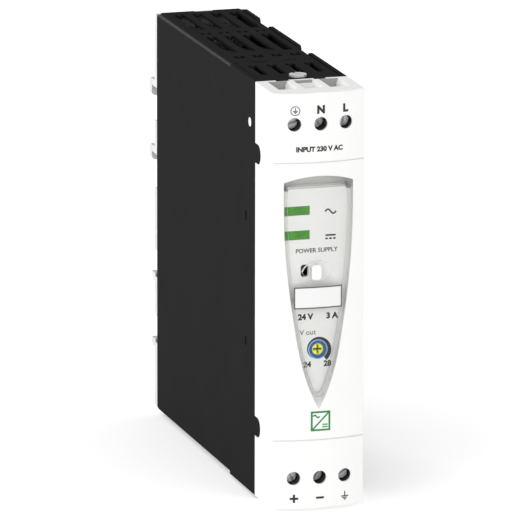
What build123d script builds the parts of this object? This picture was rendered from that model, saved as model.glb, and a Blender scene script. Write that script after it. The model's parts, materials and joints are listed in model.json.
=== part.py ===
from build123d import *
import math
import os

os.makedirs("parts", exist_ok=True)

# A slim power supply for a DIN rail: a folded black case, a white front cover with a clear
# hinged flap, rising-cage terminals at the top and the bottom, and a hooked rear plate.
#
# Frame: +Z up, -Y to the front, +X to the right of a person who faces it. The origin is on the
# rail's centre line, in the plane where the rail's front face touches the rear plate.
# All sizes are in millimetres. Heights are measured from the case's mid-height, MID above the
# origin, which the three working planes below take care of.

# ---- Case
WIDTH = 27.0
HEIGHT = 120.0
DEPTH = 120.0               # rail seat to the crown of the front cover
CASE_DEPTH = 101.0          # rail seat to the front edge of the black sheet
MID = 2.0                   # the case's mid-height above the rail's centre line
SHEET = 0.8                 # folded case sheet
SIDE_SHEET = 1.2            # right-hand side cover
BEND = 1.6                  # outside radius of the folds
REAR_EDGE = -0.3            # the sheet stops this far in front of the rail seat
FOLD_FRONT = -76.2          # the folds end here and the front stretch has square corners
TOP_SHEET_EDGE = 11.6       # right-hand edge of the top and bottom sheets
FLANGE_DROP = 5.2           # the edge flange that stiffens them

# ---- Front cover
CROWN = 2.2                 # how far the front bows out
COVER_WALL = 1.6
COVER_END = 1.5             # top and bottom walls
THROAT_BLOCK = 3.0          # extra thickness under them, for the wire funnels
JOINT_GAP = 0.15            # shut line between case and cover
EDGE_R = 0.3                # rounding of its front edges
SEAM_HEIGHT = 40.0
SEAM = 0.4

# ---- Terminals: three poles at the top and three at the bottom
POLE_PITCH = 7.5
SCREW_HEIGHT = 51.0
DRIVER_HOLE_R = 1.95
FUNNEL = (5.7, 11.0)        # mouth of a wire funnel, along x and y
FUNNEL_DEPTH = 2.8
FUNNEL_FLARE = 1.4          # its sides slope inwards over this depth and then go straight down
FUNNEL_HALF = 2.35          # half-width between the straight sides
WIRE_Y = -108.1             # wire entry axis
WIRE_R = 2.1
BLOCK_FRONT, BLOCK_BACK = -116.6, -104.2
BLOCK_LOW, BLOCK_HIGH = 47.0, 55.3
CAVITY_FRONT, CAVITY_BACK = -113.9, -105.3
BAR_FRONT, BAR_BACK = -110.4, -109.4
CAGE_PLATE = 1.2
CAGE_OPENING = 2.6          # wire space when the clamp is open
CAGE_HALF = 2.8
CAGE_HEIGHT = 4.8
SCREW_R = 1.45
HEAD_R, HEAD_BACK, HEAD_FRONT = 1.95, -114.55, -115.9
TUBE_R = 2.9                # the screw tubes reach forward into the cover's front wall
TUBE_SKIN = 0.7             # cover wall left in front of them
SLOT_ANGLES = (15.0, 120.0, 88.0, 120.0, 60.0, 33.0)

# ---- Window, flap and what sits behind it
WINDOW_X, WINDOW_TIP = -0.3, -31.2
FLOOR_Y = -117.4            # face of the panel behind the flap
FLOOR = 1.2
FLAP = 1.0
FLAP_GAP = 0.25
FLAP_TOP_GAP = 0.5
FLAP_TIP, FLAP_TIP_R = -27.6, 1.8
RAMP_TOP = -27.9            # the finger ramp below the flap's tip starts here and ends flush
HINGE_Y, HINGE_Z = -117.35, 32.8
HINGE_R, EAR_R = 0.65, 0.9
POCKET_LOW, POCKET_HIGH, POCKET_BACK = 32.5, 37.3, -113.8
POCKET_HALF, EAR_ROOM = 10.35, 1.9
POCKET_SKIN = 0.5           # cover wall left in front of the hinge pocket
TRIMMER = (0.1, -14.4)
LED_X, LED_SIZE = -6.1, (7.2, 2.4)
LED_HEIGHTS = (25.85, 18.85)
BOARD_FRONT = -107.8        # front face of the display board
BOARD = 1.6

# ---- Rear plate and rail
RAIL_SIZES = (35.0, 75.0)
UPPER_CAPTURE = {35.0: 0.6, 75.0: 1.3}    # how far the upper lips reach below the rail's edge
LIFT = 2.0                  # room above the rail's edge, taken up by the spring
LOWER_CAPTURE = 0.95
RAIL_PLAY = 0.1
RIB = 2.6                   # the ribs stand this proud of the seat
PLATE = 2.2
LIP_INNER, LIP_OUTER = 5.3, 7.7
TOE_INNER, TOE_OUTER = 1.9, 5.7
ARM = 2.0
SPRING = 0.4                # leaf thickness

HALF = WIDTH / 2
TOP = HEIGHT / 2
CURVE_R = (HALF**2 + CROWN**2) / (2 * CROWN)
POLES = (-POLE_PITCH, 0.0, POLE_PITCH)
COVER_BACK = -CASE_DEPTH - JOINT_GAP
RAIL_Z = -MID


def looking_down(height):
    """Horizontal plane at a height from mid-height; local x, y are the row's x, y."""
    return Plane(origin=(0, 0, MID + height))


def facing_front(y):
    """Upright plane at y that faces the front; local x, y are the row's x and the height."""
    return Plane(origin=(0, y, MID), x_dir=(1, 0, 0), z_dir=(0, -1, 0))


def facing_right(x):
    """Upright plane at x that faces right; local x, y are the row's y and the height."""
    return Plane(origin=(x, 0, MID), x_dir=(0, 1, 0), z_dir=(1, 0, 0))


def save(piece, name):
    """Label a finished piece and write its STEP file."""
    piece.part.label = name
    export_step(piece.part, f"parts/{name}.step")


def box(x, y, z):
    """A plain block between two limits on each axis."""
    with BuildPart() as block:
        with BuildSketch(looking_down(z[0])):
            with Locations((sum(x) / 2, sum(y) / 2)):
                Rectangle(x[1] - x[0], y[1] - y[0])
        extrude(amount=z[1] - z[0])
    return block.part


def front_y(x, inset=0.0):
    """Where the bowed front lies at x, measured inset from its outside face."""
    return CURVE_R - DEPTH - math.sqrt((CURVE_R - inset)**2 - x**2)


def hood_face(height, inset, back):
    """Plan of the front cover: straight sides, bowed front, drawn inset from the outside."""
    half = HALF - inset
    corner = front_y(half, inset)
    with BuildSketch(looking_down(height)) as plan:
        with BuildLine():
            Polyline((half, corner), (half, back), (-half, back), (-half, corner))
            ThreePointArc((-half, corner), (0, front_y(0, inset)), (half, corner))
        make_face()
    return plan.sketch


def window_face(y, grow=0.0, rise=0.0, cut_tip=None, tip_radius=0.0):
    """Outline of the window: arched top, curved sides that meet in a point at the bottom.

    cut_tip is the height at which the point is cut off, tip_radius rounds what is left."""
    half, shoulder, crown, tip = 10.1 + grow, 34.35 + rise, 36.15 + rise, WINDOW_TIP - 2 * grow
    with BuildSketch(facing_front(y)) as outline:
        with BuildLine():
            ThreePointArc((WINDOW_X - half, shoulder), (WINDOW_X, crown), (WINDOW_X + half, shoulder))
            for side in (1, -1):
                Spline((WINDOW_X + side * half, shoulder), (WINDOW_X + side * (9.55 + grow), 13.0),
                       (WINDOW_X + side * (7.3 + grow), -6.0), (WINDOW_X + side * (3.6 + grow), -23.0),
                       (WINDOW_X, tip))
        make_face()
        if cut_tip is not None:
            with Locations((WINDOW_X, cut_tip - 10)):
                Rectangle(20, 20, mode=Mode.SUBTRACT)
            fillet(outline.vertices().group_by(Axis.Y)[0], radius=tip_radius)
    return outline.sketch


# ================================================================ black case
VENT_X = [0.1 + 5.5 * step for step in (-1.5, -0.5, 0.5, 1.5)]
LONG_VENTS = ((-4.8, -27.9), (-37.8, -61.2))
SHORT_VENT = (-65.9, -69.25)
VENT_W = 3.0
NUB = (0.9, 1.6)
LOUVRE_DROP = 2.6
SNAP_Y, SNAP_Z = -95.5, 47.3
SNAP_R, SNAP_GAP = 1.55, 0.25
TAB_Z, TAB_LENGTH, TAB_HEIGHT = 39.6, 5.3, 5.5
TOP_TABS = ((-7.6, -4.0), (3.5, 6.8))
TOP_TAB = 1.4
CASE_SCREW = (0.2, -97.0)


def channel_face(y, bend):
    """Section of the folded sheet: left wall, top and bottom, with turned-in right edges."""
    inner = TOP - SHEET
    flange = TOP - FLANGE_DROP
    with BuildSketch(facing_front(y)) as section:
        with BuildLine():
            Polyline((TOP_SHEET_EDGE, TOP), (-HALF, TOP), (-HALF, -TOP), (TOP_SHEET_EDGE, -TOP),
                     (TOP_SHEET_EDGE, -flange), (TOP_SHEET_EDGE - SHEET, -flange),
                     (TOP_SHEET_EDGE - SHEET, -inner), (SHEET - HALF, -inner),
                     (SHEET - HALF, inner), (TOP_SHEET_EDGE - SHEET, inner),
                     (TOP_SHEET_EDGE - SHEET, flange), (TOP_SHEET_EDGE, flange), close=True)
        make_face()
        if bend:
            fillet(section.vertices().group_by(Axis.X)[0], radius=bend)
    return section.sketch


def tongue_face(x, grow=0.0):
    """The two round-ended tongues that lap over the cover's side."""
    with BuildSketch(facing_right(x)) as tongues:
        with Locations((-CASE_DEPTH - TAB_LENGTH / 2 + 0.5, TAB_Z),
                       (-CASE_DEPTH - TAB_LENGTH / 2 + 0.5, -TAB_Z)):
            Rectangle(TAB_LENGTH + 1.0 + 2 * grow, TAB_HEIGHT + 2 * grow)
        fillet(tongues.vertices().group_by(Axis.X)[0], radius=TAB_HEIGHT / 2 - 0.1 + grow)
    return tongues.sketch


def rear_corners(x):
    """What is rounded off the rear corners of a side wall."""
    radius = 2.0
    with BuildSketch(facing_right(x)) as corners:
        for side in (1, -1):
            with BuildLine():
                Line((REAR_EDGE, side * (TOP - radius)), (REAR_EDGE + 1, side * (TOP + 1)))
                Line((REAR_EDGE + 1, side * (TOP + 1)), (REAR_EDGE - radius, side * TOP))
                RadiusArc((REAR_EDGE - radius, side * TOP), (REAR_EDGE, side * (TOP - radius)),
                          side * radius)
            make_face()
    return corners.sketch


with BuildPart() as case_body:
    extrude(channel_face(REAR_EDGE, BEND), amount=REAR_EDGE - FOLD_FRONT)
    extrude(channel_face(FOLD_FRONT, 0), amount=CASE_DEPTH + FOLD_FRONT)
    extrude(tongue_face(-HALF), amount=SHEET)
    with BuildSketch(looking_down(-TOP)) as tabs:
        for low, high in TOP_TABS:
            with Locations(((low + high) / 2, -CASE_DEPTH - TOP_TAB / 2 + 0.5)):
                Rectangle(high - low, TOP_TAB + 1.0)
    extrude(amount=SHEET)
    extrude(tabs.sketch.moved(Location((0, 0, HEIGHT - SHEET))), amount=SHEET)
    # Vents, alike in the top and the bottom sheet, each with a small nub at its rear end.
    with BuildSketch(looking_down(-TOP - 1)) as vents:
        for x in VENT_X:
            for rear, front in (*LONG_VENTS, SHORT_VENT):
                with Locations((x, (rear + front) / 2)):
                    RectangleRounded(VENT_W, rear - front, 0.7)
                with Locations((x, rear - NUB[1] / 2)):
                    Rectangle(NUB[0], NUB[1] + 0.2, mode=Mode.SUBTRACT)
            with Locations((x - 1.0, -33.2), (x + 1.0, -33.2)):
                Rectangle(1.1, 2.2)
            with Locations((x, -81.2)):
                Circle(VENT_W / 2)
            with Locations((x, -87.4)):
                RectangleRounded(2.0, 10.8, 0.6)
            with Locations((x, -80.2)):
                Rectangle(NUB[0], NUB[1], mode=Mode.SUBTRACT)
        with Locations((-4.35, -75.1), (4.75, -75.1)):
            Rectangle(4.1, 0.9)
    extrude(amount=HEIGHT + 2, mode=Mode.SUBTRACT)
    # Louvre tongues slope inwards from the front end of the long vents; the right-hand row has none.
    for x in VENT_X[:3]:
        for rear, front in LONG_VENTS:
            for side in (1, -1):
                with BuildSketch(facing_right(x - VENT_W / 2 + 0.2)):
                    Polygon((front - 0.6, side * TOP), (front - 0.6, side * (TOP - SHEET)),
                            (rear - 2.4, side * (TOP - SHEET - LOUVRE_DROP)),
                            (rear - 2.4, side * (TOP - LOUVRE_DROP)), align=None)
                extrude(amount=VENT_W - 0.4)
    # Seam and relief hole where the fold ends, and the square front stretch begins.
    for side in (1, -1):
        with BuildSketch(facing_front(FOLD_FRONT)):
            with Locations((-11.8, side * TOP)):
                Rectangle(0.25, 0.6)
        extrude(amount=CASE_DEPTH + FOLD_FRONT, mode=Mode.SUBTRACT)
    with BuildSketch(looking_down(-TOP - 1)):
        with Locations((-11.8, FOLD_FRONT + 0.4)):
            Circle(0.6)
        with Locations(CASE_SCREW):
            Circle(1.7)
        with Locations((0.6, REAR_EDGE)):
            Rectangle(5.6, 2.2)
    extrude(amount=HEIGHT + 2, mode=Mode.SUBTRACT)
    # Snap hole and two small double holes in the left wall.
    with BuildSketch(facing_right(-HALF)):
        with Locations((SNAP_Y, SNAP_Z)):
            Circle(SNAP_R)
        for height in (19.4, -16.9):
            with Locations((-91.9, height + 0.7), (-91.9, height - 0.7)):
                Circle(0.75)
    extrude(amount=SHEET, mode=Mode.SUBTRACT)
    extrude(rear_corners(-HALF - 0.5), amount=SHEET + 1.0, mode=Mode.SUBTRACT)
save(case_body, "case_body")

NOTCHES = ((-16.2, -27.5), (-57.0, -66.8))
NOTCH_DEPTH = 1.6

with BuildPart() as side_cover:
    with BuildSketch(facing_right(HALF - SIDE_SHEET)) as outline:
        with Locations(((REAR_EDGE - CASE_DEPTH) / 2, 0)):
            Rectangle(CASE_DEPTH + REAR_EDGE, HEIGHT)
        for rear, front in NOTCHES:
            for side in (1, -1):
                with Locations(((rear + front) / 2, side * TOP)):
                    Rectangle(rear - front, 2 * NOTCH_DEPTH, mode=Mode.SUBTRACT)
        chamfer(outline.vertices().filter_by(lambda v: abs(abs(v.Y) - TOP) < 0.01
                                             and -70 < v.X < -10), length=0.8)
    extrude(amount=SIDE_SHEET)
    extrude(tongue_face(HALF - SHEET), amount=SHEET)
    with BuildSketch(facing_right(HALF - SIDE_SHEET)):
        with Locations((SNAP_Y, SNAP_Z)):
            Circle(SNAP_R)
    extrude(amount=SIDE_SHEET, mode=Mode.SUBTRACT)
    extrude(rear_corners(HALF - SIDE_SHEET - 0.5), amount=SIDE_SHEET + 1.0, mode=Mode.SUBTRACT)
save(side_cover, "side_cover")

# ================================================================ rear plate and its rail springs
PLATE_HALF = HALF - 0.1


def ceiling(rail):
    """Roof of the upper hook for a rail of this height."""
    return RAIL_Z + rail / 2 + LIFT


def ledge(rail):
    """Floor of the lower hook, which the rail's lower edge rests on."""
    return RAIL_Z - rail / 2 - RAIL_PLAY


def block_face(plane, y, z):
    """A rectangle on a side plane between two limits in y and in height."""
    with BuildSketch(plane) as face:
        with Locations((sum(y) / 2, sum(z) / 2)):
            Rectangle(y[1] - y[0], z[1] - z[0])
    return face.sketch


with BuildPart() as rear_plate:
    # The web lies between the side walls; ribs and hooks behind it take the full width.
    extrude(block_face(facing_right(SHEET + 0.1 - HALF), (-PLATE, 0), (-TOP + 1.0, TOP - 1.0)),
            amount=WIDTH - SHEET - SIDE_SHEET - 0.2)
    for side in (1, -1):
        corner = sorted((side * (TOP - FLANGE_DROP - 0.2), side * TOP))
        add(box((TOP_SHEET_EDGE - SHEET - 0.1, HALF), (-PLATE, 0), corner), mode=Mode.SUBTRACT)
    end = facing_right(-PLATE_HALF)
    with BuildSketch(end) as ribs:
        for low, high in ((ceiling(75), TOP - 0.6), (ceiling(35), 27.6), (-11.5, 7.4),
                          (-31.5, ledge(35)), (1.0 - TOP, ledge(75))):
            with Locations((RIB / 2, (low + high) / 2)):
                Rectangle(RIB, high - low)
        chamfer(ribs.vertices().group_by(Axis.X)[-1], length=0.8)
    extrude(amount=2 * PLATE_HALF)
    for rail in RAIL_SIZES:
        upper = ceiling(rail)
        lip = RAIL_Z + rail / 2 - UPPER_CAPTURE[rail]
        floor = ledge(rail)
        with BuildSketch(end):
            Polygon((0, upper), (LIP_INNER, upper), (LIP_INNER, lip), (LIP_OUTER, lip),
                    (LIP_OUTER, upper + ARM - 0.8), (LIP_OUTER - 0.8, upper + ARM),
                    (0, upper + ARM), align=None)
            Polygon((0, floor), (TOE_INNER, floor), (TOE_INNER, floor + LOWER_CAPTURE),
                    (TOE_OUTER, floor + LOWER_CAPTURE), (TOE_OUTER, floor - 0.6),
                    (TOE_OUTER - 1.0, floor - 1.6), (0, floor - 1.6), align=None)
        extrude(amount=2 * PLATE_HALF)
        corners = rear_plate.edges().filter_by(Axis.Y).filter_by_position(
            Axis.Z, MID + lip - 0.01, MID + lip + 0.01)
        fillet(corners, radius=1.2)
    # A tongue at each end shows in the notch of the case's rear edge.
    for low in (1.0 - TOP - 0.9, TOP - 1.0):
        with BuildSketch(looking_down(low)):
            with Locations((0.6, -0.6)):
                Rectangle(5.2, 1.2)
        extrude(amount=0.9)
save(rear_plate, "rear_plate")

# Leaf springs in the upper hooks push down on the rail's edge. Each one bends about the rolled
# eye at its root.
LEAF_ROOT, LEAF_TIP = -10.5, 8.0
EYE_R = 0.45
LEAF_DROP = 1.9
for rail in RAIL_SIZES:
    root = ceiling(rail) - EYE_R - 0.1
    with BuildPart() as rail_spring:
        with BuildSketch(facing_front(4.5)):
            with BuildLine():
                Polyline((LEAF_ROOT, root), (LEAF_TIP, root - LEAF_DROP),
                         (LEAF_TIP + 2.0, root - LEAF_DROP + 0.4))
            trace(line_width=SPRING)
            with Locations((LEAF_ROOT, root)):
                Circle(EYE_R)
        extrude(amount=3.6)
    save(rail_spring, f"rail_spring_{rail:.0f}mm")

# ================================================================ front cover
ARM_Y = -93.8               # rear end of the arms that reach into the case
POSTS = ((-8.0, 8.0), (8.0, 8.0), (0.0, -21.5))
SEAL_HOLE = (-3.85, 8.5)

with BuildPart() as window_well:
    extrude(window_face(FLOOR_Y + FLOOR, FLOOR, FLOOR), amount=4)
    with BuildSketch(facing_front(POCKET_BACK + FLOOR)):
        with Locations((WINDOW_X, (POCKET_LOW + POCKET_HIGH) / 2 - FLOOR / 2)):
            Rectangle(2 * (POCKET_HALF + FLOOR), POCKET_HIGH - POCKET_LOW + 3 * FLOOR)
    extrude(amount=8)
    extrude(hood_face(-TOP, POCKET_SKIN, -100), amount=HEIGHT, mode=Mode.INTERSECT)

with BuildPart() as hinge_pocket:
    with BuildSketch(facing_front(POCKET_BACK)):
        with Locations((WINDOW_X, (POCKET_LOW + POCKET_HIGH) / 2)):
            Rectangle(2 * POCKET_HALF, POCKET_HIGH - POCKET_LOW)
        for side in (1, -1):
            with Locations((WINDOW_X + side * (POCKET_HALF - EAR_ROOM / 2), HINGE_Z)):
                Rectangle(EAR_ROOM, 2 * EAR_R + 0.6)
    extrude(amount=8)
    extrude(hood_face(-TOP, POCKET_SKIN, -100), amount=HEIGHT, mode=Mode.INTERSECT)

with BuildPart() as window_recess:
    extrude(window_face(FLOOR_Y), amount=5)
    with BuildSketch(facing_right(-4.0)):
        Polygon((FLOOR_Y + 1.0, RAMP_TOP), (FLOOR_Y, RAMP_TOP), (-DEPTH, WINDOW_TIP),
                (-DEPTH, WINDOW_TIP - 1.0), (FLOOR_Y + 1.0, WINDOW_TIP - 1.0), align=None)
    extrude(amount=8.0, mode=Mode.SUBTRACT)

with BuildPart() as screw_tubes:
    for side in (1, -1):
        with BuildSketch(facing_front(BLOCK_FRONT)):
            with Locations(*((x, side * SCREW_HEIGHT) for x in POLES)):
                Circle(TUBE_R + 0.25)
        extrude(amount=4)
    extrude(hood_face(-TOP, TUBE_SKIN, -100), amount=HEIGHT, mode=Mode.INTERSECT)

with BuildPart() as seams:
    for side in (1, -1):
        seam_height = side * SEAM_HEIGHT - SEAM / 2
        extrude(hood_face(seam_height, -0.5, -117.5), amount=SEAM)
        extrude(hood_face(seam_height - SEAM, SEAM, -110), amount=3 * SEAM, mode=Mode.SUBTRACT)

with BuildPart() as front_cover:
    extrude(hood_face(-TOP, 0, COVER_BACK), amount=HEIGHT)
    fillet(front_cover.edges().filter_by(lambda edge: edge.center().Y < COVER_BACK - 10),
           radius=EDGE_R)
    extrude(hood_face(COVER_END - TOP, COVER_WALL, -CASE_DEPTH + 1), amount=HEIGHT - 2 * COVER_END,
            mode=Mode.SUBTRACT)
    add(window_well.part)
    # Thick pads under the end walls carry the wire funnels.
    for side in (1, -1):
        pad = sorted((side * (TOP - COVER_END), side * (TOP - COVER_END - THROAT_BLOCK)))
        add(box((-11.95, 11.95), (-115.4, COVER_BACK), pad))
        with BuildSketch(facing_front(WIRE_Y + FUNNEL[1] / 2)):
            for x in POLES:
                Polygon((x - FUNNEL_HALF, side * (TOP - FUNNEL_DEPTH)),
                        (x - FUNNEL_HALF, side * (TOP - FUNNEL_FLARE)), (x - FUNNEL[0] / 2, side * TOP),
                        (x + FUNNEL[0] / 2, side * TOP), (x + FUNNEL_HALF, side * (TOP - FUNNEL_FLARE)),
                        (x + FUNNEL_HALF, side * (TOP - FUNNEL_DEPTH)), align=None)
        extrude(amount=FUNNEL[1], mode=Mode.SUBTRACT)
    with BuildSketch(looking_down(-TOP)):
        with Locations(*((x, WIRE_Y) for x in POLES)):
            Circle(WIRE_R)
    extrude(amount=HEIGHT, mode=Mode.SUBTRACT)
    # Screwdriver holes; behind each of them the wall is thinned for the terminal's screw tube.
    add(screw_tubes.part, mode=Mode.SUBTRACT)
    with BuildSketch(facing_front(BLOCK_FRONT)):
        with Locations(*((x, side * SCREW_HEIGHT) for x in POLES for side in (1, -1))):
            Circle(DRIVER_HOLE_R)
    extrude(amount=6, mode=Mode.SUBTRACT)
    add(seams.part, mode=Mode.SUBTRACT)
    # Window, hinge pocket and pin holes.
    add(window_recess.part, mode=Mode.SUBTRACT)
    add(hinge_pocket.part, mode=Mode.SUBTRACT)
    with BuildSketch(facing_right(WINDOW_X - POCKET_HALF - FLOOR)):
        with Locations((HINGE_Y, HINGE_Z)):
            Circle(HINGE_R + 0.05)
    extrude(amount=2 * (POCKET_HALF + FLOOR), mode=Mode.SUBTRACT)
    # Openings in the panel for the light guides and the trimmer, a hole for a sealing wire, and
    # the post the wire goes through.
    with BuildSketch(facing_front(FLOOR_Y + FLOOR)):
        for height in LED_HEIGHTS:
            with Locations((LED_X, height)):
                Rectangle(LED_SIZE[0] + 0.2, LED_SIZE[1] + 0.2)
        with Locations(TRIMMER):
            Circle(2.75)
        with Locations(SEAL_HOLE):
            RectangleRounded(2.3, 3.6, 0.8)
    extrude(amount=FLOOR, mode=Mode.SUBTRACT)
    with BuildSketch(facing_front(FLOOR_Y)) as seal_post:
        with Locations((-1.0, 8.3)):
            RectangleRounded(2.8, 4.3, 0.9)
    extrude(amount=2.3)
    with BuildSketch(facing_right(-3.0)):
        with Locations((FLOOR_Y - 1.15, 8.3)):
            Circle(0.6)
    extrude(amount=4, mode=Mode.SUBTRACT)
    # Posts for the display board.
    with BuildSketch(facing_front(BOARD_FRONT - 0.05)):
        with Locations(*POSTS):
            Circle(1.1)
    extrude(amount=BOARD_FRONT - 0.05 - FLOOR_Y - FLOOR)
    # Arms reach into the case behind the side walls, each with a lug that snaps into its hole.
    for inside, outside, tip in ((-HALF + 2.15, -HALF + 0.95, -HALF + 0.05),
                                 (HALF - 2.6, HALF - 1.35, HALF - 0.05)):
        add(box(sorted((inside, outside)), (-104.0, ARM_Y), (-52.0, 52.0)))
        with BuildSketch(facing_right(min(outside, tip))):
            with Locations((SNAP_Y, SNAP_Z)):
                Circle(SNAP_R - SNAP_GAP)
        extrude(amount=abs(tip - outside))
    # Recesses for the case's tongues and tabs.
    for x in (-HALF, HALF - SHEET - 0.05):
        extrude(tongue_face(x, 0.1), amount=SHEET + 0.05, mode=Mode.SUBTRACT)
    for low, high in TOP_TABS:
        for height in (-TOP, TOP - SHEET - 0.05):
            add(box((low - 0.1, high + 0.1), (-CASE_DEPTH - TOP_TAB - 0.1, -100),
                    (height, height + SHEET + 0.05)), mode=Mode.SUBTRACT)
    # Lugs under the top and bottom sheets take the case screws.
    for side in (1, -1):
        lug = sorted((side * (TOP - SHEET - 0.1), side * (TOP - SHEET - 1.9)))
        add(box((-3.2, 3.6), (-103.0, ARM_Y), lug))
    with BuildSketch(looking_down(-TOP)):
        with Locations(CASE_SCREW):
            Circle(1.35)
    extrude(amount=HEIGHT, mode=Mode.SUBTRACT)
save(front_cover, "front_cover")

# ================================================================ flap and marker
MARKER = (-0.55, 1.2)
MARKER_SIZE = (13.7, 5.95)
MARKER_DEPTH, MARKER_GAP = 0.6, 0.15


def flap_face(y, inset=0.0):
    """The window's outline less its gaps, with a rounded tip above the finger notch."""
    return window_face(y, -FLAP_GAP - inset, -FLAP_TOP_GAP - inset, FLAP_TIP + inset,
                       FLAP_TIP_R - 0.7 * inset)


def marker_face(y, shrink=0.0):
    """Outline of the clip-in marker."""
    with BuildSketch(facing_front(y)) as outline:
        with Locations(MARKER):
            RectangleRounded(MARKER_SIZE[0] - shrink, MARKER_SIZE[1] - shrink, 0.4)
    return outline.sketch


FLAP_BACK = FLOOR_Y - 0.3
RIM = 1.1                   # clear side walls of the flap

HOLLOW_TOP = 33.3           # the flap is solid above this line

with BuildPart() as flap_hollow:
    extrude(flap_face(FLAP_BACK, RIM), amount=4)
    extrude(hood_face(-TOP, FLAP, -100), amount=TOP + HOLLOW_TOP, mode=Mode.INTERSECT)

with BuildPart() as marker_space:
    extrude(marker_face(FLAP_BACK), amount=4)
    extrude(hood_face(-TOP, MARKER_DEPTH, -100), amount=HEIGHT, mode=Mode.SUBTRACT)

EAR_HALF = 10.1 - FLAP_GAP

with BuildPart() as hinge_ears:
    for side in (1, -1):
        for inner, outer, radius in ((EAR_HALF - RIM + 0.15, EAR_HALF - 0.3, EAR_R),
                                     (EAR_HALF - 0.6, POCKET_HALF + 1.0, HINGE_R)):
            with BuildSketch(facing_right(WINDOW_X + min(side * inner, side * outer))):
                with Locations((HINGE_Y, HINGE_Z)):
                    Circle(radius)
            extrude(amount=outer - inner)

with BuildPart() as window_flap:
    extrude(flap_face(FLAP_BACK), amount=4)
    extrude(hood_face(-TOP, 0, -100), amount=HEIGHT, mode=Mode.INTERSECT)
    add(flap_hollow.part, mode=Mode.SUBTRACT)
    add(marker_space.part, mode=Mode.SUBTRACT)
    # Eye-shaped opening round the sealing post.
    with BuildSketch(facing_front(FLAP_BACK)):
        with BuildLine():
            ThreePointArc((-5.2, 8.6), (-0.7, 11.75), (3.9, 8.7))
            ThreePointArc((3.9, 8.7), (-0.7, 5.7), (-5.2, 8.6))
        make_face()
    extrude(amount=4, mode=Mode.SUBTRACT)
    add(hinge_ears.part)
save(window_flap, "window_flap")

with BuildPart() as marker_label:
    extrude(marker_face(FLAP_BACK, 2 * MARKER_GAP), amount=4)
    extrude(hood_face(-TOP, 0, -100), amount=HEIGHT, mode=Mode.INTERSECT)
    extrude(hood_face(-TOP, MARKER_DEPTH - 0.05, -100), amount=HEIGHT, mode=Mode.SUBTRACT)
save(marker_label, "marker_label")

# ================================================================ display
LED = (3.2, 1.6, 1.1)       # across, tall and proud of the board

with BuildPart() as light_guides:
    with BuildSketch(facing_front(BOARD_FRONT - LED[2] - 0.2)):
        for height in LED_HEIGHTS:
            with Locations((LED_X, height)):
                Rectangle(*LED_SIZE)
    extrude(amount=BOARD_FRONT - LED[2] - 0.2 - FLOOR_Y)
    low, high = sorted(LED_HEIGHTS)
    add(box((LED_X - 0.8, LED_X + 0.8), (-115.9, -114.9), (low, high)))
save(light_guides, "light_guides")

with BuildPart() as leds:
    with BuildSketch(facing_front(BOARD_FRONT)):
        for height in LED_HEIGHTS:
            with Locations((LED_X, height)):
                Rectangle(LED[0], LED[1])
    extrude(amount=LED[2])
save(leds, "leds")

with BuildPart() as display_board:
    add(box((-9.2, 9.2), (BOARD_FRONT, BOARD_FRONT + BOARD), (-24.0, 29.3)))
save(display_board, "display_board")

ROTOR_R = 1.6
ROTOR_BACK = -113.4
TRIMMER_FACE = FLOOR_Y + 0.2

with BuildPart() as trimmer_body:
    with BuildSketch(facing_front(BOARD_FRONT)):
        with Locations(TRIMMER):
            RectangleRounded(7.0, 7.0, 0.6)
    extrude(amount=4.6)
    with BuildSketch(facing_front(BOARD_FRONT)):
        with Locations(TRIMMER):
            Circle(2.5)
    extrude(amount=BOARD_FRONT - TRIMMER_FACE)
    with BuildSketch(facing_front(ROTOR_BACK)):
        with Locations(TRIMMER):
            Circle(ROTOR_R + 0.05)
    extrude(amount=6, mode=Mode.SUBTRACT)
save(trimmer_body, "trimmer_body")

with BuildPart() as trimmer_rotor:
    with BuildSketch(facing_front(ROTOR_BACK - 0.05)):
        with Locations(TRIMMER):
            Circle(ROTOR_R)
    extrude(amount=ROTOR_BACK - 0.05 - TRIMMER_FACE - 0.05)
    with BuildSketch(facing_front(TRIMMER_FACE + 0.85)):
        with Locations(TRIMMER):
            Rectangle(0.6, 2.7)
            Rectangle(2.7, 0.6)
    extrude(amount=2, mode=Mode.SUBTRACT)
save(trimmer_rotor, "trimmer_rotor")

# ================================================================ terminals
CAGE_FRONT = BAR_FRONT - 0.1 - CAGE_PLATE
CAGE_BACK = BAR_BACK + CAGE_OPENING + 1.0
LEG_Y = (-99.5, -95.5, -91.5)
BOARD_FACE = -8.9           # component side of the main board

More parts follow.
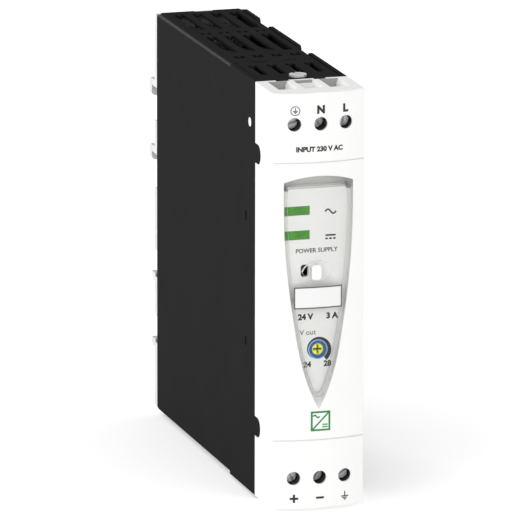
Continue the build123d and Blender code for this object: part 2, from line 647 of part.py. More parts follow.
for side, end_name in ((1, "input"), (-1, "output")):
    span = sorted((side * BLOCK_LOW, side * BLOCK_HIGH))
    cavity = sorted((side * (BLOCK_LOW - 1), side * (BLOCK_HIGH - 1.4)))
    with BuildPart() as terminal_block:
        with BuildSketch(facing_front(BLOCK_FRONT + 0.5)):
            with Locations(*((x, side * SCREW_HEIGHT) for x in POLES)):
                Circle(TUBE_R)
        extrude(amount=4)
        extrude(hood_face(-TOP, TUBE_SKIN + 0.15, -100), amount=HEIGHT, mode=Mode.INTERSECT)
        add(box((-11.4, 11.4), (BLOCK_FRONT, BLOCK_BACK), span))
        for x in POLES:
            add(box((x - CAGE_HALF - 0.3, x + CAGE_HALF + 0.3), (CAVITY_FRONT, CAVITY_BACK), cavity),
                mode=Mode.SUBTRACT)
        with BuildSketch(looking_down(span[0] - 1)):
            with Locations(*((x, WIRE_Y) for x in POLES)):
                Circle(WIRE_R + 0.3)
        extrude(amount=BLOCK_HIGH - BLOCK_LOW + 2, mode=Mode.SUBTRACT)
        for y, radius, depth in ((HEAD_BACK + 0.05, HEAD_R + 0.15, 6), (CAVITY_FRONT, SCREW_R + 0.15, 1)):
            with BuildSketch(facing_front(y)):
                with Locations(*((x, side * SCREW_HEIGHT) for x in POLES)):
                    Circle(radius)
            extrude(amount=depth, mode=Mode.SUBTRACT)
    save(terminal_block, f"{end_name}_terminal_block")

    with BuildPart() as contact_bars:
        for x, leg_y in zip(POLES, LEG_Y):
            for wide, deep, tall in (
                    ((x - 1.9, x + 1.9), (BAR_FRONT, BAR_BACK), (45.6, 53.6)),
                    ((x - 1.3, x + 1.3), (BAR_FRONT, leg_y + 0.8), (45.6, 46.5)),
                    ((BOARD_FACE + 0.05, x + 1.3), (leg_y - 0.8, leg_y + 0.8), (45.6, 46.5))):
                add(box(wide, deep, sorted(side * z for z in tall)))
    save(contact_bars, f"{end_name}_contact_bars")

    for number, x in enumerate(POLES, start=1):
        with BuildPart() as screw:
            with BuildSketch(facing_front(BAR_FRONT - 0.1)):
                with Locations((x, side * SCREW_HEIGHT)):
                    Circle(SCREW_R)
            extrude(amount=BAR_FRONT - 0.1 - HEAD_BACK)
            with BuildSketch(facing_front(HEAD_BACK)):
                with Locations((x, side * SCREW_HEIGHT)):
                    Circle(HEAD_R)
            extrude(amount=HEAD_BACK - HEAD_FRONT)
            chamfer(screw.edges().filter_by(GeomType.CIRCLE).sort_by(Axis.Y)[0], length=0.25)
            angle = SLOT_ANGLES[number - 1 + (0 if side == 1 else 3)]
            with BuildSketch(facing_front(HEAD_FRONT + 0.9)):
                with Locations((x, side * SCREW_HEIGHT)):
                    Rectangle(5, 0.7, rotation=angle)
            extrude(amount=2, mode=Mode.SUBTRACT)
        save(screw, f"{end_name}_screw_{number}")

        with BuildPart() as cage:
            add(box((x - CAGE_HALF, x + CAGE_HALF), (CAGE_FRONT, CAGE_BACK),
                    (side * SCREW_HEIGHT - CAGE_HEIGHT / 2, side * SCREW_HEIGHT + CAGE_HEIGHT / 2)))
            fillet(cage.edges().filter_by(Axis.Z), radius=0.5)
            add(box((x - CAGE_HALF + 0.65, x + CAGE_HALF - 0.65),
                    (CAGE_FRONT + CAGE_PLATE, CAGE_BACK - 1.0),
                    (side * SCREW_HEIGHT - CAGE_HEIGHT, side * SCREW_HEIGHT + CAGE_HEIGHT)),
                mode=Mode.SUBTRACT)
            with BuildSketch(facing_front(CAGE_FRONT + CAGE_PLATE + 0.1)):
                with Locations((x, side * SCREW_HEIGHT)):
                    Circle(SCREW_R + 0.05)
            extrude(amount=CAGE_PLATE + 1, mode=Mode.SUBTRACT)
        save(cage, f"{end_name}_cage_{number}")

# ================================================================ inside the case
with BuildPart() as main_board:
    add(box((BOARD_FACE - BOARD, BOARD_FACE), (-100.8, -6.0), (-53.5, 53.5)))
save(main_board, "main_board")

with BuildPart() as board_header:
    add(box((BOARD_FACE + 0.05, -6.3), (BOARD_FRONT + BOARD + 0.05, -97.5), (-4.0, 4.0)))
save(board_header, "board_header")

with BuildPart() as insulation_sheet:
    add(box((-12.5, -12.1), (-92.0, -4.0), (-57.0, 57.0)))
save(insulation_sheet, "insulation_sheet")

CORE = (28.0, 28.0, 13.0)   # along y, z and x
CORE_Y, CORE_X = -52.0, 0.5
CORE_LEG, CORE_WINDOW = 8.0, 5.5

with BuildPart() as transformer_core:
    with BuildSketch(facing_right(CORE_X - CORE[2] / 2)):
        with Locations((CORE_Y, 0)):
            Rectangle(CORE[0], CORE[1])
        for side in (1, -1):
            with Locations((CORE_Y + side * (CORE_LEG + CORE_WINDOW) / 2, 0)):
                Rectangle(CORE_WINDOW, CORE[1] - 9.0, mode=Mode.SUBTRACT)
    extrude(amount=CORE[2])
save(transformer_core, "transformer_core")

with BuildPart() as transformer_winding:
    with BuildSketch(looking_down(-9.2)):
        with Locations((CORE_X, CORE_Y)):
            RectangleRounded(18.4, CORE_LEG + 2 * CORE_WINDOW - 0.6, 2.5)
            Rectangle(CORE[2] + 0.4, CORE_LEG + 0.4, mode=Mode.SUBTRACT)
    extrude(amount=18.4)
save(transformer_winding, "transformer_winding")

with BuildPart() as input_capacitor:
    with BuildSketch(looking_down(15.5)):
        with Locations((0.4, -20.0)):
            Circle(9.0)
    extrude(amount=34.0)
    fillet(input_capacitor.edges().filter_by(GeomType.CIRCLE), radius=1.0)
save(input_capacitor, "input_capacitor")

with BuildPart() as bridge_rectifier:
    add(box((BOARD_FACE + 0.05, 6.0), (-36.0, -32.5), (28.0, 46.0)))
    chamfer(bridge_rectifier.edges().filter_by(Axis.Y).group_by(Axis.X)[-1], length=1.5)
save(bridge_rectifier, "bridge_rectifier")

with BuildPart() as line_choke:
    with BuildSketch(looking_down(36.0)):
        with Locations((0.5 + 6.3, -62.0)):
            Circle(2.8)
    revolve(axis=Axis((0.5, -62.0, MID + 36.0), (0, 1, 0)))
save(line_choke, "line_choke")

with BuildPart() as line_capacitor:
    add(box((BOARD_FACE + 0.05, 0.0), (-89.0, -72.0), (27.0, 43.0)))
    fillet(line_capacitor.edges().group_by(Axis.X)[-1], radius=0.8)
save(line_capacitor, "line_capacitor")

with BuildPart() as fuse:
    with BuildSketch(facing_front(-68.0)):
        with Locations((-5.4, 50.0)):
            Circle(2.4)
    extrude(amount=20.0)
    for y in (-68.0, -82.5):
        with BuildSketch(facing_front(y)):
            with Locations((-5.4, 50.0)):
                Circle(2.65)
        extrude(amount=5.5)
save(fuse, "fuse")

HEAT_SINK = ((BOARD_FACE + 0.05, 9.8), (-33.6, -31.6))
for name, low, high in (("primary_heat_sink", -15.0, 15.0), ("secondary_heat_sink", -50.0, -20.0)):
    with BuildPart() as heat_sink:
        add(box(*HEAT_SINK, (low, high)))
        add(box((7.8, 9.8), (HEAT_SINK[1][0], -24.0), (low, high)))
    save(heat_sink, name)

for name, height in (("power_transistor", 0.0), ("output_diode", -35.0)):
    with BuildPart() as package:
        add(box((-5.0, 5.0), (-31.55, -27.1), (height - 8.0, height + 1.0)))
        add(box((-5.0, 5.0), (-31.55, -30.2), (height - 8.0, height + 7.0)))
        with BuildSketch(facing_front(-30.0)):
            with Locations((0, height + 4.3)):
                Circle(1.8)
        extrude(amount=2, mode=Mode.SUBTRACT)
    save(package, name)

with BuildPart() as output_capacitors:
    with BuildSketch(facing_right(BOARD_FACE + 0.05)):
        for y in (-56.0, -42.0):
            with Locations((y, -27.0), (y, -42.0)):
                Circle(6.25)
    extrude(amount=18.0)
save(output_capacitors, "output_capacitors")

with BuildPart() as output_choke:
    with BuildSketch(facing_front(-75.5)):
        with Locations((-4.5, -32.0 + 7.5)):
            Circle(3.9)
    revolve(axis=Axis((-4.5, -75.5, MID - 32.0), (1, 0, 0)))
save(output_choke, "output_choke")

with BuildPart() as control_chip:
    add(box((BOARD_FACE + 0.05, -5.4), (-80.0, -70.0), (-3.2, 3.2)))
save(control_chip, "control_chip")

with BuildPart() as optocoupler:
    add(box((BOARD_FACE + 0.05, -5.4), (-29.0, -24.4), (-20.0, -13.5)))
save(optocoupler, "optocoupler")

CASE_HEAD = 0.6             # low screw heads on the top and the bottom sheet

with BuildPart() as case_screws:
    for side in (1, -1):
        for near, far, radius in ((TOP - 8.0, TOP, 1.25), (TOP, TOP + CASE_HEAD, 2.5)):
            with BuildSketch(looking_down(min(side * near, side * far))):
                with Locations(CASE_SCREW):
                    Circle(radius)
            extrude(amount=far - near)
        with BuildSketch(looking_down(min(side * (TOP + 0.15), side * (TOP + 1.15)))):
            with Locations(CASE_SCREW):
                Rectangle(6, 0.8, rotation=-72)
        extrude(amount=1.0, mode=Mode.SUBTRACT)
save(case_screws, "case_screws")
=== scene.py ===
import json
import math
import bpy
import bmesh
from mathutils import Matrix, Vector

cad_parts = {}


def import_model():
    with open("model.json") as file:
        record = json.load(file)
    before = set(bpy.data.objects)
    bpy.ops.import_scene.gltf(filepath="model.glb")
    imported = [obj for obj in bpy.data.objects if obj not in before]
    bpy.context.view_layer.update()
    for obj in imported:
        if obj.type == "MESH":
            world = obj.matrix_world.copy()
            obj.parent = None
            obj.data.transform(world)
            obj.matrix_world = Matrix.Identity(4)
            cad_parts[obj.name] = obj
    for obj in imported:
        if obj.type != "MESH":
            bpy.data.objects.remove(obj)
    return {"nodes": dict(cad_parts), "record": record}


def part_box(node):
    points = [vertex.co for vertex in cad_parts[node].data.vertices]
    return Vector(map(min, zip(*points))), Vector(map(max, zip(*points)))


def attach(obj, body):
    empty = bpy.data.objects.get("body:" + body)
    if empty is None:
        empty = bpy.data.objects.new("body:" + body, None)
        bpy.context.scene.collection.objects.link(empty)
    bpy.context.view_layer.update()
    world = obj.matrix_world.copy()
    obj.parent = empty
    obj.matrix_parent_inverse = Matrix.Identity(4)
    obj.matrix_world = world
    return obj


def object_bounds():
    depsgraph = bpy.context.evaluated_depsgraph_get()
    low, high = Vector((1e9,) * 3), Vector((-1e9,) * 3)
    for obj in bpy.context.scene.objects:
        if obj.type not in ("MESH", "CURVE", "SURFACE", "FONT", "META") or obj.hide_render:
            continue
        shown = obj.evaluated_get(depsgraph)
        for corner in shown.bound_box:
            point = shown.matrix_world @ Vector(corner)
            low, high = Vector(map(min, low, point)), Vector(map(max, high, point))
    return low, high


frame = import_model()
cad_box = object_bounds()

# Everything is in metres, in the CAD model's frame: +Z up, -Y to the front.
MM = 0.001

# ---- Places taken from the frame
COVER_LOW, COVER_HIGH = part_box("front_cover")
MID_Z = (COVER_LOW[2] + COVER_HIGH[2]) / 2
HALF_WIDTH = (COVER_HIGH[0] - COVER_LOW[0]) / 2
CROWN_Y = COVER_LOW[1]

# ---- Sizes of the CAD model that its boxes don't give
CROWN = 2.2 * MM                # how far the front bows out
CURVE_R = (HALF_WIDTH**2 + CROWN**2) / (2 * CROWN)
PANEL_Y = -117.4 * MM           # face of the panel behind the flap
ROTOR_SINK = 1.05 * MM          # the floor of the trimmer's cross lies this far behind it
FUNNEL_BACK = -102.6 * MM       # rear wall of the wire funnels
FUNNEL_FLOOR = 57.2 * MM        # height of their floor above mid-height
TRIMMER = (0.1, -14.4)          # in millimetres from mid-width and mid-height, like all prints
MARKER = (-0.55, 1.2)

# ---- Finish of the clear flap, and the light
CLEAR_TINT = (0.998, 0.998, 0.996)
CLEAR_IOR = 1.22                # low, so that the panel shows through almost without glare
TABLE_GLOW = 0.37
SKY = {"X": (1.12, 0.88), "Y": (1.08, 0.5), "Z": (0.97, 1.08)}    # left-right, front-back, low-high

# ---- Prints
INK_THICKNESS = 0.03 * MM
INK_SINK = 0.01 * MM            # how far the print reaches into what carries it
STRIP_STEP = 0.5 * MM           # longest stretch of a printed line on a bowed surface


def front_y(x):
    """Where the bowed front lies at x."""
    return CROWN_Y + CURVE_R - math.sqrt(CURVE_R**2 - x**2)


# ================================================================ materials
def shader(name):
    """A new node material, with its tree and its Principled shader."""
    material = bpy.data.materials.new(name)
    material.use_nodes = True
    return material, material.node_tree, material.node_tree.nodes["Principled BSDF"]


def grain_of(tree, size, detail=3.0, stretch=(1, 1, 1), roughness=0.55):
    """Noise over the object, with features of this size in metres."""
    coords = tree.nodes.new("ShaderNodeTexCoord")
    mapping = tree.nodes.new("ShaderNodeMapping")
    mapping.inputs["Scale"].default_value = [factor / size for factor in stretch]
    noise = tree.nodes.new("ShaderNodeTexNoise")
    noise.inputs["Scale"].default_value = 1.0
    noise.inputs["Detail"].default_value = detail
    noise.inputs["Roughness"].default_value = roughness
    tree.links.new(coords.outputs["Object"], mapping.inputs["Vector"])
    tree.links.new(mapping.outputs["Vector"], noise.inputs["Vector"])
    return noise.outputs["Fac"]


def between(tree, factor, low, high):
    """A number that follows a noise from low to high."""
    spread = tree.nodes.new("ShaderNodeMapRange")
    spread.inputs["From Min"].default_value = 0.3
    spread.inputs["From Max"].default_value = 0.7
    spread.inputs["To Min"].default_value = low
    spread.inputs["To Max"].default_value = high
    tree.links.new(factor, spread.inputs["Value"])
    return spread.outputs["Result"]


def colour_between(tree, factor, dark, light):
    """A colour that follows a noise from dark to light."""
    ramp = tree.nodes.new("ShaderNodeValToRGB")
    ramp.color_ramp.elements[0].position = 0.35
    ramp.color_ramp.elements[1].position = 0.65
    ramp.color_ramp.elements[0].color = (*dark, 1)
    ramp.color_ramp.elements[1].color = (*light, 1)
    tree.links.new(factor, ramp.inputs["Fac"])
    return ramp.outputs["Color"]


def add_bump(tree, bsdf, height, strength, distance):
    """Relief from a height, in metres of distance."""
    bump = tree.nodes.new("ShaderNodeBump")
    bump.inputs["Strength"].default_value = strength
    bump.inputs["Distance"].default_value = distance
    tree.links.new(height, bump.inputs["Height"])
    tree.links.new(bump.outputs["Normal"], bsdf.inputs["Normal"])


def finish_of(name, colour, vary=0.05, rough=(0.4, 0.55), grain=0.4 * MM, bump=0.15,
              depth=0.02 * MM, stretch=(1, 1, 1), metal=0.0, specular=0.5, coat=0.0, patch=9 * MM):
    """A finish with fine grain in its relief and roughness, and slow drifts of colour."""
    material, tree, bsdf = shader(name)
    fine = grain_of(tree, grain, stretch=stretch)
    slow = grain_of(tree, patch, detail=2.0)
    dark = [channel * (1 - vary) for channel in colour]
    light = [min(1.0, channel * (1 + vary)) for channel in colour]
    tree.links.new(colour_between(tree, slow, dark, light), bsdf.inputs["Base Color"])
    tree.links.new(between(tree, fine, *rough), bsdf.inputs["Roughness"])
    add_bump(tree, bsdf, fine, bump, depth)
    bsdf.inputs["Metallic"].default_value = metal
    bsdf.inputs["Specular IOR Level"].default_value = specular
    bsdf.inputs["Coat Weight"].default_value = coat
    bsdf.inputs["Coat Roughness"].default_value = 0.32
    return material


def clear_finish():
    """Clear polycarbonate: it lets light straight through and shines at its edges."""
    material, tree, bsdf = shader("clear_polycarbonate")
    fine = grain_of(tree, 6 * MM, detail=1.0)
    tree.links.new(colour_between(tree, fine, (0.86, 0.87, 0.865), (0.92, 0.93, 0.925)),
                   bsdf.inputs["Base Color"])
    tree.links.new(between(tree, fine, 0.08, 0.16), bsdf.inputs["Roughness"])
    clear = tree.nodes.new("ShaderNodeBsdfTransparent")
    clear.inputs["Color"].default_value = (*CLEAR_TINT, 1)
    fresnel = tree.nodes.new("ShaderNodeFresnel")
    fresnel.inputs["IOR"].default_value = CLEAR_IOR
    mix = tree.nodes.new("ShaderNodeMixShader")
    tree.links.new(fresnel.outputs["Fac"], mix.inputs["Fac"])
    tree.links.new(clear.outputs["BSDF"], mix.inputs[1])
    tree.links.new(bsdf.outputs["BSDF"], mix.inputs[2])
    tree.links.new(mix.outputs["Shader"], tree.nodes["Material Output"].inputs["Surface"])
    return material


FINISHES = {
    "black_paint": finish_of("powder_coat_black", (0.0154, 0.0155, 0.0157), vary=0.04,
                             rough=(0.42, 0.5), grain=0.3 * MM, bump=0.2, depth=0.02 * MM,
                             specular=0.0, coat=0.045),
    "aluminium": finish_of("extruded_aluminium", (0.70, 0.70, 0.715), vary=0.05,
                           rough=(0.34, 0.46), grain=0.25 * MM, stretch=(0.04, 1, 1), bump=0.2,
                           metal=1.0),
    "spring_steel": finish_of("spring_steel", (0.38, 0.38, 0.39), rough=(0.25, 0.35),
                              grain=0.2 * MM, stretch=(0.1, 1, 1), metal=1.0),
    "white_plastic": finish_of("white_moulding", (0.865, 0.865, 0.85), vary=0.006,
                               rough=(0.42, 0.5), grain=0.18 * MM, bump=0.06,
                               depth=0.01 * MM, specular=0.35),
    "clear_plastic": clear_finish(),
    "marker_white": finish_of("marker_white", (0.8, 0.8, 0.795), vary=0.004,
                              rough=(0.3, 0.36), grain=0.3 * MM, bump=0.03),
    "green_clear": finish_of("light_guide_green", (0.045, 0.27, 0.008), vary=0.18,
                             rough=(0.22, 0.3), grain=0.5 * MM, bump=0.05, patch=1.6 * MM),
    "led_white": finish_of("led_body", (0.8, 0.8, 0.74)),
    "board_green": finish_of("solder_mask", (0.02, 0.13, 0.045), rough=(0.25, 0.4)),
    "trimmer_blue": finish_of("trimmer_blue", (0.008, 0.1, 0.33), vary=0.08,
                              rough=(0.25, 0.35), grain=0.2 * MM, bump=0.05),
    "trimmer_yellow": finish_of("trimmer_yellow", (0.85, 0.85, 0.06), vary=0.05,
                                rough=(0.35, 0.45), grain=0.15 * MM, bump=0.05),
    "terminal_grey": finish_of("terminal_moulding", (0.03, 0.03, 0.031), rough=(0.5, 0.6)),
    "tinned_copper": finish_of("tinned_copper", (0.66, 0.62, 0.56), rough=(0.25, 0.4), metal=1.0),
    "dark_plastic": finish_of("epoxy_black", (0.02, 0.02, 0.021), rough=(0.45, 0.6)),
    "insulation": finish_of("insulation_film", (0.7, 0.66, 0.52), rough=(0.3, 0.4)),
    "ferrite": finish_of("ferrite", (0.05, 0.05, 0.052), rough=(0.5, 0.7), grain=0.15 * MM),
    "winding_tape": finish_of("winding_tape", (0.75, 0.56, 0.06), rough=(0.25, 0.35)),
    "capacitor_sleeve": finish_of("capacitor_sleeve", (0.012, 0.02, 0.06), rough=(0.25, 0.4)),
    "copper_wire": finish_of("enamelled_copper", (0.55, 0.2, 0.07), rough=(0.2, 0.35),
                             grain=0.5 * MM, stretch=(3, 3, 0.2), bump=0.6, metal=0.9),
    "capacitor_yellow": finish_of("film_capacitor", (0.72, 0.55, 0.05), rough=(0.3, 0.4)),
    "fuse_ceramic": finish_of("fuse_ceramic", (0.72, 0.71, 0.66), rough=(0.35, 0.5)),
    "screw_steel": finish_of("zinc_screw", (0.78, 0.78, 0.785), rough=(0.4, 0.5),
                             grain=0.2 * MM, metal=0.75),
    "plated_steel": finish_of("plated_cage", (0.5, 0.5, 0.51), rough=(0.3, 0.4), metal=1.0),
}

for entry in frame["record"]["subparts"]:
    node = frame["nodes"][entry["node"]]
    node.data.materials.clear()
    node.data.materials.append(FINISHES[entry["material_slot"]])

def paint_funnel_shade():
    """The rear walls of the wire funnels get a darker grey than the rest of the cover: painted shade in
    the recesses.
    """
    mesh = frame["nodes"]["front_cover"].data
    # painted shade: a darker grey finish on the funnels' rear walls, where the recess lies in shade
    mesh.materials.append(finish_of("funnel_rear_painted_shade", (0.33, 0.33, 0.325), rough=(0.5, 0.6), bump=0.05))
    for face in mesh.polygons:
        height = abs(face.center.z - MID_Z)
        if (abs(face.center.y - FUNNEL_BACK) < 0.02 * MM and abs(face.normal.y) > 0.99
                and height > FUNNEL_FLOOR):
            face.material_index = 1


paint_funnel_shade()

# black ink for the prints, also used as painted shade in the trimmer's slots
INK_AND_PAINTED_SHADE = finish_of("black_ink_and_painted_shade", (0.012, 0.012, 0.012), rough=(0.4, 0.5), grain=0.1 * MM, bump=0.05)
GREEN_INK = finish_of("green_ink", (0.012, 0.235, 0.05), rough=(0.4, 0.5), grain=0.1 * MM, bump=0.05)
# light blue for a painted highlight on the rim of the trimmer
RIM_HIGHLIGHT_BLUE = finish_of("painted_highlight_blue", (0.3, 0.55, 0.85), rough=(0.3, 0.4), grain=0.1 * MM, bump=0.05)
# grey for a painted shadow line round the clip-in marker
SHADOW_LINE_GREY = finish_of("painted_shadow_line_grey", (0.1, 0.1, 0.1), rough=(0.4, 0.5), grain=0.1 * MM, bump=0.05)


# ================================================================ printed marks
def printed(name, shapes, material, height_of, body="housing"):
    """Thin raised print that moves with body.

    shapes are flat meshes in (x, height); height_of gives y at x."""
    sheet = bmesh.new()
    for flat in shapes:
        sheet.from_mesh(flat)
        bpy.data.meshes.remove(flat)
    bmesh.ops.triangulate(sheet, faces=sheet.faces)
    extruded = bmesh.ops.extrude_face_region(sheet, geom=sheet.faces[:])
    for vertex in extruded["geom"]:
        if isinstance(vertex, bmesh.types.BMVert):
            vertex.co.z = 1.0
    for vertex in sheet.verts:
        x, height, raised = vertex.co
        vertex.co = (x, height_of(x) + (INK_SINK if raised < 0.5 else -INK_THICKNESS), height)
    bmesh.ops.recalc_face_normals(sheet, faces=sheet.faces)
    mesh = bpy.data.meshes.new(name)
    sheet.to_mesh(mesh)
    sheet.free()
    mesh.materials.append(material)
    piece = bpy.data.objects.new(name, mesh)
    bpy.context.scene.collection.objects.link(piece)
    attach(piece, body)


def lettering(text, x, height, size, bold=0.03):
    """A flat mesh of a short text, centred at (x, height) in the print's plane."""
    curve = bpy.data.curves.new("lettering", "FONT")
    curve.body = text
    curve.size = size
    curve.offset = bold * size
    curve.align_x = "CENTER"
    curve.align_y = "CENTER"
    curve.resolution_u = 6
    holder = bpy.data.objects.new("lettering", curve)
    bpy.context.scene.collection.objects.link(holder)
    settled = holder.evaluated_get(bpy.context.evaluated_depsgraph_get())
    mesh = bpy.data.meshes.new_from_object(settled)
    bpy.data.objects.remove(holder)
    bpy.data.curves.remove(curve)
    mesh.transform(Matrix.Translation((x, height, 0)))
    return mesh


def strip(points, width):
    """A flat band of constant width along points, in the print's plane.

    Long stretches are divided, so that the band can follow a bowed surface."""
    dense = [points[0]]
    for start, end in zip(points, points[1:]):
        start, end = Vector(start), Vector(end)
        pieces = max(1, math.ceil((end - start).length / STRIP_STEP))
        dense += [tuple(start.lerp(end, step / pieces)) for step in range(1, pieces + 1)]
    points = dense
    flat = bmesh.new()
    left, right = [], []
    for index, point in enumerate(points):
        before = Vector(points[max(index - 1, 0)])
        after = Vector(points[min(index + 1, len(points) - 1)])
        across = (after - before).normalized().orthogonal() * (width / 2)
        left.append(flat.verts.new((*(Vector(point) + across), 0)))
        right.append(flat.verts.new((*(Vector(point) - across), 0)))
    for index in range(len(points) - 1):
        flat.faces.new((left[index], right[index], right[index + 1], left[index + 1]))
    mesh = bpy.data.meshes.new("strip")
    flat.to_mesh(mesh)
    flat.free()
    return mesh


def arc(x, height, radius, start, end, steps=40):
    """Points of an arc, angles in degrees from +x towards up."""
    angles = [math.radians(start + (end - start) * step / steps) for step in range(steps + 1)]
    return [(x + radius * math.cos(a), height + radius * math.sin(a)) for a in angles]


def crescent(x, height, radius, start, end, thin, thick, steps=48):
    """A band along an arc whose width grows from thin to thick, its inner edge on the radius."""
    flat = bmesh.new()
    inner, outer = [], []
    for step in range(steps + 1):
        share = step / steps
        angle = math.radians(start + (end - start) * share)
        wide = radius + thin + (thick - thin) * share
        across, up = math.cos(angle), math.sin(angle)
        inner.append(flat.verts.new((x + radius * across, height + radius * up, 0)))
        outer.append(flat.verts.new((x + wide * across, height + wide * up, 0)))
    for step in range(steps):
        flat.faces.new((inner[step], outer[step], outer[step + 1], inner[step + 1]))
    mesh = bpy.data.meshes.new("crescent")
    flat.to_mesh(mesh)
    flat.free()
    return mesh


def at(x, height):
    """A place on the front, in millimetres from mid-width and mid-height, in metres."""
    return x * MM, MID_Z + height * MM


def earth_sign(x, height, size, ring):
    """The earth symbol, with a ring round it if asked."""
    x, height = at(x, height)
    line = size * 0.13
    shapes = [strip([(x, height + size * 0.5), (x, height - size * 0.02)], line)]
    for number, half in enumerate((0.46, 0.3, 0.14)):
        level = height - size * (0.08 + 0.2 * number)
        shapes.append(strip([(x - size * half, level), (x + size * half, level)], line))
    if ring:
        shapes.append(strip(arc(x, height - size * 0.05, size * 0.78, 0, 360), line))
    return shapes


def tilde(x, height, width, line):
    """A sine sign for alternating current."""
    x, height = at(x, height)
    points = []
    for step in range(25):
        share = step / 24
        points.append((x + (share - 0.5) * width, height + math.sin(share * 2 * math.pi) * width * 0.2))
    return strip(points, line)


def direct_sign(x, height, width, line):
    """A solid line over three dashes, for direct current."""
    x, height = at(x, height)
    rise, dash = width * 0.16, width * 0.24
    shapes = [strip([(x - width / 2, height + rise), (x + width / 2, height + rise)], line)]
    for number in (-1, 0, 1):
        centre = x + number * width * 0.38
        shapes.append(strip([(centre - dash / 2, height - rise), (centre + dash / 2, height - rise)],
                            line))
    return shapes


def plus_sign(x, height, size, line):
    """A plus, its upright in two pieces so that the bars don't overlap."""
    x, height = at(x, height)
    return [strip([(x - size / 2, height), (x + size / 2, height)], line),
            strip([(x, height - size / 2), (x, height - line / 2)], line),
            strip([(x, height + line / 2), (x, height + size / 2)], line)]


def cover_prints():
    """Terminal marks, the supply range and a general name, on the bowed front."""
    shapes = earth_sign(-7.3, 55.0, 1.6 * MM, ring=True)
    shapes.append(lettering("N", *at(0.0, 55.0), 3.0 * MM, 0.06))
    shapes.append(lettering("L", *at(7.3, 55.0), 3.0 * MM, 0.06))
    shapes.append(lettering("INPUT 230 V AC", *at(-0.3, 43.8), 1.9 * MM, 0.05))
    shapes += plus_sign(-7.4, -56.9, 2.4 * MM, 0.62 * MM)
    x, height = at(0.1, -56.9)
    shapes.append(strip([(x - 1.15 * MM, height), (x + 1.15 * MM, height)], 0.62 * MM))
    shapes += earth_sign(7.6, -56.9, 2.4 * MM, ring=False)
    printed("cover_prints", shapes, INK_AND_PAINTED_SHADE, front_y)


def converter_sign():
    """The general sign of a converter: a square with a diagonal, ~ and = in its corners."""
    half, line = 2.6 * MM, 0.55 * MM
    x, height = at(0.2, -34.6)
    reach = line / 2
    shapes = []
    for side in (1, -1):
        level, edge = height + side * half, x + side * half
        shapes.append(strip([(x - half - reach, level), (x + half + reach, level)], line))
        shapes.append(strip([(edge, height - half + reach), (edge, height + half - reach)], line))
    inset = half - reach
    shapes.append(strip([(x - inset, height - inset), (x + inset, height + inset)], line * 0.8))
    shapes.append(tilde(-1.05, -33.2, 1.9 * MM, 0.4 * MM))
    x, height = at(1.5, -36.0)
    for level in (-0.35, 0.35):
        shapes.append(strip([(x - 0.8 * MM, height + level * MM), (x + 0.8 * MM, height + level * MM)],
                            0.35 * MM))
    printed("converter_sign", shapes, GREEN_INK, front_y)


def panel_prints():
    """Marks on the flat panel behind the flap, and a painted highlight round the trimmer."""
    shapes = [tilde(3.7, 25.2, 3.2 * MM, 0.45 * MM)]
    shapes += direct_sign(3.7, 17.9, 3.0 * MM, 0.48 * MM)
    shapes.append(lettering("POWER SUPPLY", *at(-0.4, 14.2), 1.75 * MM, 0.015))
    shapes.append(lettering("24 V", *at(-3.6, -4.9), 2.3 * MM, 0.05))
    shapes.append(lettering("3 A", *at(4.2, -4.9), 2.3 * MM, 0.05))
    shapes.append(lettering("V out", *at(-2.9, -9.4), 2.1 * MM, 0.0))
    shapes.append(lettering("24", *at(-3.0, -18.7), 2.2 * MM, 0.04))
    shapes.append(lettering("28", *at(2.9, -18.7), 2.2 * MM, 0.04))
    x, height = at(*TRIMMER)
    shapes.append(crescent(x, height, 2.85 * MM, 233, -52, 0.12 * MM, 1.3 * MM))
    printed("panel_prints", shapes, INK_AND_PAINTED_SHADE, lambda x: PANEL_Y)
    # painted highlight: a light-blue ring at the edge of the trimmer's hole, where its rim catches the
    # light
    ring = [strip(arc(x, height, 2.72 * MM, 0, 360), 0.28 * MM)]
    printed("trimmer_rim_painted_highlight", ring, RIM_HIGHLIGHT_BLUE, lambda x: PANEL_Y)


def trimmer_slot_painted_shade():
    """Painted shade: a dark cross at the floor of the trimmer's slots."""
    # painted shade: black sheets at the floor of the cross slots, where the slots lie in shade
    printed("trimmer_slot_painted_shade", plus_sign(*TRIMMER, 2.4 * MM, 0.5 * MM), INK_AND_PAINTED_SHADE,
            lambda x: PANEL_Y + ROTOR_SINK, "trimmer")


def marker_painted_shadow_line():
    """Thin shadow line round the clip-in marker."""
    x, height = at(*MARKER)
    half, rise, line = 6.85 * MM, 2.98 * MM, 0.34 * MM
    shapes = []
    for side in (1, -1):
        shapes.append(strip([(x - half - line / 2, height + side * rise),
                             (x + half + line / 2, height + side * rise)], line))
        shapes.append(strip([(x + side * half, height - rise + line / 2),
                             (x + side * half, height + rise - line / 2)], line))
    # painted shadow: a dark grey band on the flap where the gap round the marker lies in shade
    printed("marker_painted_shadow_line", shapes, SHADOW_LINE_GREY, lambda x: front_y(x) - 2 * INK_SINK, "flap")


cover_prints()
converter_sign()
panel_prints()
trimmer_slot_painted_shade()
marker_painted_shadow_line()


# ================================================================ floor, light and camera
def floor():
    """A pale, faintly glowing table."""
    mesh = bpy.data.meshes.new("studio_floor")
    side, level = 8.0, cad_box[0][2] - 0.5 * MM
    mesh.from_pydata([(-side, -side, level), (side, -side, level), (side, side, level),
                      (-side, side, level)], [], [(0, 1, 2, 3)])
    piece = bpy.data.objects.new("studio_floor", mesh)
    bpy.context.scene.collection.objects.link(piece)
    paper = finish_of("studio_paper", (0.8, 0.8, 0.8), vary=0.004, rough=(0.8, 0.9),
                      grain=3 * MM, bump=0.02, specular=0.1)
    glow = paper.node_tree.nodes["Principled BSDF"].inputs
    glow["Emission Color"].default_value = (1, 1, 1, 1)
    glow["Emission Strength"].default_value = TABLE_GLOW
    mesh.materials.append(paper)


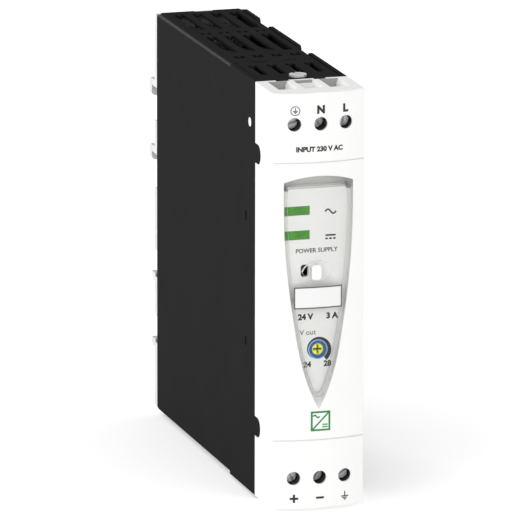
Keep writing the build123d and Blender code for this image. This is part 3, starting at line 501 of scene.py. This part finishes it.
def softbox(name, place, size, power, target=(0, -0.06, 0)):
    """A square area light that looks at the object."""
    light = bpy.data.lights.new(name, "AREA")
    light.shape = "SQUARE"
    light.size = size
    light.energy = power
    lamp = bpy.data.objects.new(name, light)
    bpy.context.scene.collection.objects.link(lamp)
    aim = Vector(target) - Vector(place)
    lamp.matrix_world = Matrix.Translation(place) @ aim.to_track_quat("-Z", "Y").to_matrix().to_4x4()


def world():
    """A soft tent of light, brighter at the front and the left, darker behind and overhead."""
    surroundings = bpy.data.worlds.new("studio")
    surroundings.use_nodes = True
    tree = surroundings.node_tree
    split = tree.nodes.new("ShaderNodeSeparateXYZ")
    tree.links.new(tree.nodes.new("ShaderNodeTexCoord").outputs["Generated"], split.inputs["Vector"])
    strength = None
    for axis, (low, high) in SKY.items():
        spread = tree.nodes.new("ShaderNodeMapRange")
        spread.inputs["From Min"].default_value = 0.0 if axis == "Z" else -1.0
        spread.inputs["From Max"].default_value = 1.0
        spread.inputs["To Min"].default_value = low
        spread.inputs["To Max"].default_value = high
        tree.links.new(split.outputs[axis], spread.inputs["Value"])
        if strength is None:
            strength = spread.outputs["Result"]
            continue
        product = tree.nodes.new("ShaderNodeMath")
        product.operation = "MULTIPLY"
        tree.links.new(strength, product.inputs[0])
        tree.links.new(spread.outputs["Result"], product.inputs[1])
        strength = product.outputs["Value"]
    background = tree.nodes["Background"]
    background.inputs["Color"].default_value = (1, 1, 1, 1)
    tree.links.new(strength, background.inputs["Strength"])
    bpy.context.scene.world = surroundings


def camera():
    """Long lens from the front left and above."""
    place = Vector((-0.63518, -2.18145, 0.52157))
    yaw, pitch, roll = math.radians(16.656), math.radians(13.225), math.radians(0.099)
    forward = Vector((math.sin(yaw) * math.cos(pitch), math.cos(yaw) * math.cos(pitch), -math.sin(pitch)))
    data = bpy.data.cameras.new("camera")
    data.sensor_width = 36.0
    data.lens = 552.8
    data.clip_start, data.clip_end = 0.1, 50.0
    holder = bpy.data.objects.new("camera", data)
    bpy.context.scene.collection.objects.link(holder)
    turn = forward.to_track_quat("-Z", "Y").to_matrix().to_4x4() @ Matrix.Rotation(roll, 4, "Z")
    holder.matrix_world = Matrix.Translation(place) @ turn
    bpy.context.scene.camera = holder


floor()
world()
softbox("key", (-1.7, -1.4, 1.0), 1.0, 9)
softbox("rim", (-0.75, 2.7, 0.75), 0.9, 34)
camera()
bpy.context.scene.view_settings.view_transform = "Standard"
